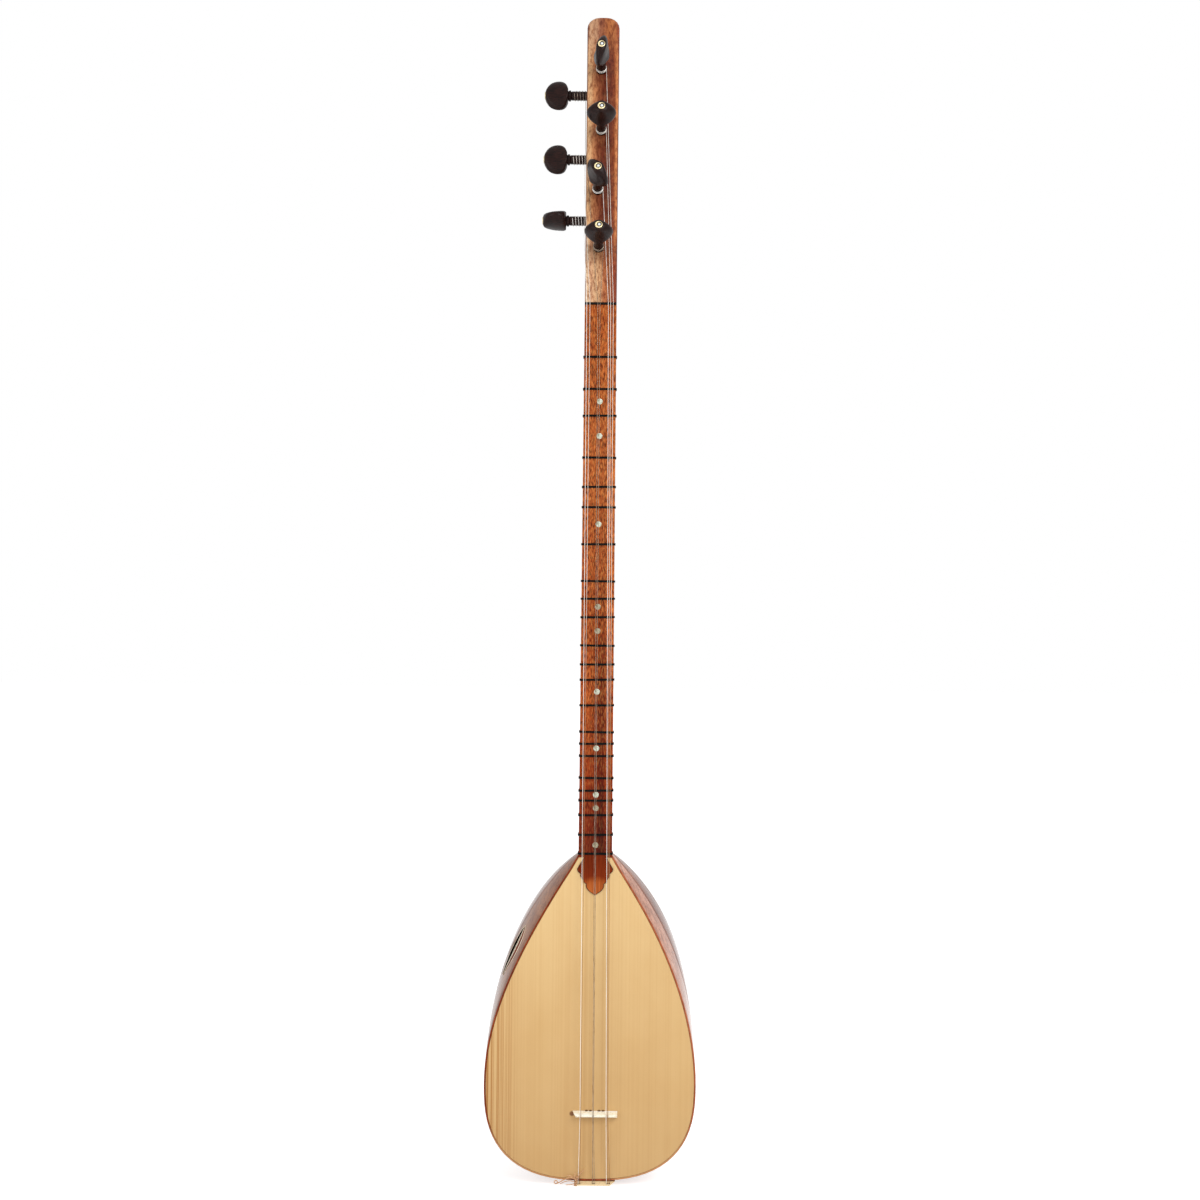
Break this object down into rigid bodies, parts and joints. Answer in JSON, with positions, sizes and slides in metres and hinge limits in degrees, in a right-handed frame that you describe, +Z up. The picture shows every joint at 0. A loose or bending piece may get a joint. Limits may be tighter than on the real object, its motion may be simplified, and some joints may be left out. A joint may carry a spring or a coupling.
{
  "type": "long-neck saz",
  "caption": "Long-neck lute with a staved pear-shaped bowl, a pale flat soundboard, tied movable frets along a slim neck, and dark turning pegs on a backswept head.",
  "frame": {"origin": "middle of the foot of the bounding box, under the tail, with the instrument upright", "axes": "+Z up the neck from tail to head, -Y out of the soundboard towards the player's hand, +X to the viewer's right"},
  "size_m": [0.212, 0.221, 1.1957],
  "materials": {
    "stave": "gloss",
    "maple": "satin",
    "binding": "gloss",
    "spruce": "satin",
    "sapele": "satin",
    "mahogany": "satin",
    "ebony": "satin",
    "steel": "bright",
    "copper": "satin",
    "nylon": "satin"
  },
  "bodies": {
    "instrument": {"bowl_stave_01": "stave", "bowl_stave_02": "stave", "bowl_stave_03": "stave", "bowl_stave_04": "stave", "bowl_stave_05": "stave", "bowl_stave_06": "stave", "bowl_stave_07": "stave", "bowl_stave_08": "stave", "bowl_stave_09": "stave", "neck_block": "maple", "tail_block": "maple", "bridge": "maple", "tailpiece": "maple", "sound_hole_lining": "maple", "tail_cap": "binding", "soundboard_binding": "binding", "soundboard": "spruce", "soundboard_brace": "spruce", "neck": "sapele", "fingerboard": "sapele", "head": "mahogany", "fingerboard_ornament": "mahogany", "nut": "ebony", "string_1": "steel", "string_2": "steel", "string_5": "steel", "string_6": "steel", "string_7": "steel", "string_3": "copper", "string_4": "copper"},
    "peg_front_1": {"peg_front_1": "ebony"},
    "peg_front_2": {"peg_front_2": "ebony"},
    "peg_front_3": {"peg_front_3": "ebony"},
    "peg_front_4": {"peg_front_4": "ebony"},
    "peg_side_1": {"peg_side_1": "ebony"},
    "peg_side_2": {"peg_side_2": "ebony"},
    "peg_side_3": {"peg_side_3": "ebony"},
    "fret_01": {"fret_01": "nylon"},
    "fret_02": {"fret_02": "nylon"},
    "fret_03": {"fret_03": "nylon"},
    "fret_04": {"fret_04": "nylon"},
    "fret_05": {"fret_05": "nylon"},
    "fret_06": {"fret_06": "nylon"},
    "fret_07": {"fret_07": "nylon"},
    "fret_08": {"fret_08": "nylon"},
    "fret_09": {"fret_09": "nylon"},
    "fret_10": {"fret_10": "nylon"},
    "fret_11": {"fret_11": "nylon"},
    "fret_12": {"fret_12": "nylon"},
    "fret_13": {"fret_13": "nylon"},
    "fret_14": {"fret_14": "nylon"},
    "fret_15": {"fret_15": "nylon"},
    "fret_16": {"fret_16": "nylon"},
    "fret_17": {"fret_17": "nylon"},
    "fret_18": {"fret_18": "nylon"},
    "fret_19": {"fret_19": "nylon"},
    "fret_20": {"fret_20": "nylon"},
    "fret_21": {"fret_21": "nylon"},
    "fret_22": {"fret_22": "nylon"},
    "fret_23": {"fret_23": "nylon"}
  },
  "joints": [
    {"name": "peg_front_1_turn", "type": "hinge", "parent": "instrument", "child": "peg_front_1", "pos_m": [0.0005, -0.06108, 0.94074], "axis": [0, -0.9511, 0.309], "continuous": true},
    {"name": "peg_front_2_turn", "type": "hinge", "parent": "instrument", "child": "peg_front_2", "pos_m": [-0.001, -0.04099, 1.00256], "axis": [0, -0.9511, 0.309], "continuous": true},
    {"name": "peg_front_3_turn", "type": "hinge", "parent": "instrument", "child": "peg_front_3", "pos_m": [0.0019, -0.01988, 1.06752], "axis": [0, -0.9511, 0.309], "continuous": true},
    {"name": "peg_front_4_turn", "type": "hinge", "parent": "instrument", "child": "peg_front_4", "pos_m": [0.0014, 0.00221, 1.13552], "axis": [0, -0.9511, 0.309], "continuous": true},
    {"name": "peg_side_1_turn", "type": "hinge", "parent": "instrument", "child": "peg_side_1", "pos_m": [-0.01355, -0.03728, 0.97192], "axis": [-1, 0, 0], "continuous": true},
    {"name": "peg_side_2_turn", "type": "hinge", "parent": "instrument", "child": "peg_side_2", "pos_m": [-0.01355, -0.01559, 1.03868], "axis": [-1, 0, 0], "continuous": true},
    {"name": "peg_side_3_turn", "type": "hinge", "parent": "instrument", "child": "peg_side_3", "pos_m": [-0.01355, 0.00753, 1.10982], "axis": [-1, 0, 0], "continuous": true},
    {"name": "fret_01_slide", "type": "slide", "parent": "instrument", "child": "fret_01", "axis": [0, 0, 1], "range_m": [-0.003, 0.003]},
    {"name": "fret_02_slide", "type": "slide", "parent": "instrument", "child": "fret_02", "axis": [0, 0, 1], "range_m": [-0.003, 0.003]},
    {"name": "fret_03_slide", "type": "slide", "parent": "instrument", "child": "fret_03", "axis": [0, 0, 1], "range_m": [-0.003, 0.003]},
    {"name": "fret_04_slide", "type": "slide", "parent": "instrument", "child": "fret_04", "axis": [0, 0, 1], "range_m": [-0.003, 0.003]},
    {"name": "fret_05_slide", "type": "slide", "parent": "instrument", "child": "fret_05", "axis": [0, 0, 1], "range_m": [-0.003, 0.003]},
    {"name": "fret_06_slide", "type": "slide", "parent": "instrument", "child": "fret_06", "axis": [0, 0, 1], "range_m": [-0.003, 0.003]},
    {"name": "fret_07_slide", "type": "slide", "parent": "instrument", "child": "fret_07", "axis": [0, 0, 1], "range_m": [-0.003, 0.003]},
    {"name": "fret_08_slide", "type": "slide", "parent": "instrument", "child": "fret_08", "axis": [0, 0, 1], "range_m": [-0.003, 0.003]},
    {"name": "fret_09_slide", "type": "slide", "parent": "instrument", "child": "fret_09", "axis": [0, 0, 1], "range_m": [-0.003, 0.003]},
    {"name": "fret_10_slide", "type": "slide", "parent": "instrument", "child": "fret_10", "axis": [0, 0, 1], "range_m": [-0.003, 0.003]},
    {"name": "fret_11_slide", "type": "slide", "parent": "instrument", "child": "fret_11", "axis": [0, 0, 1], "range_m": [-0.003, 0.003]},
    {"name": "fret_12_slide", "type": "slide", "parent": "instrument", "child": "fret_12", "axis": [0, 0, 1], "range_m": [-0.003, 0.003]},
    {"name": "fret_13_slide", "type": "slide", "parent": "instrument", "child": "fret_13", "axis": [0, 0, 1], "range_m": [-0.003, 0.003]},
    {"name": "fret_14_slide", "type": "slide", "parent": "instrument", "child": "fret_14", "axis": [0, 0, 1], "range_m": [-0.003, 0.003]},
    {"name": "fret_15_slide", "type": "slide", "parent": "instrument", "child": "fret_15", "axis": [0, 0, 1], "range_m": [-0.003, 0.003]},
    {"name": "fret_16_slide", "type": "slide", "parent": "instrument", "child": "fret_16", "axis": [0, 0, 1], "range_m": [-0.003, 0.003]},
    {"name": "fret_17_slide", "type": "slide", "parent": "instrument", "child": "fret_17", "axis": [0, 0, 1], "range_m": [-0.003, 0.003]},
    {"name": "fret_18_slide", "type": "slide", "parent": "instrument", "child": "fret_18", "axis": [0, 0, 1], "range_m": [-0.003, 0.003]},
    {"name": "fret_19_slide", "type": "slide", "parent": "instrument", "child": "fret_19", "axis": [0, 0, 1], "range_m": [-0.003, 0.003]},
    {"name": "fret_20_slide", "type": "slide", "parent": "instrument", "child": "fret_20", "axis": [0, 0, 1], "range_m": [-0.003, 0.003]},
    {"name": "fret_21_slide", "type": "slide", "parent": "instrument", "child": "fret_21", "axis": [0, 0, 1], "range_m": [-0.003, 0.003]},
    {"name": "fret_22_slide", "type": "slide", "parent": "instrument", "child": "fret_22", "axis": [0, 0, 1], "range_m": [-0.003, 0.003]},
    {"name": "fret_23_slide", "type": "slide", "parent": "instrument", "child": "fret_23", "axis": [0, 0, 1], "range_m": [0, 0.003]}
  ]
}
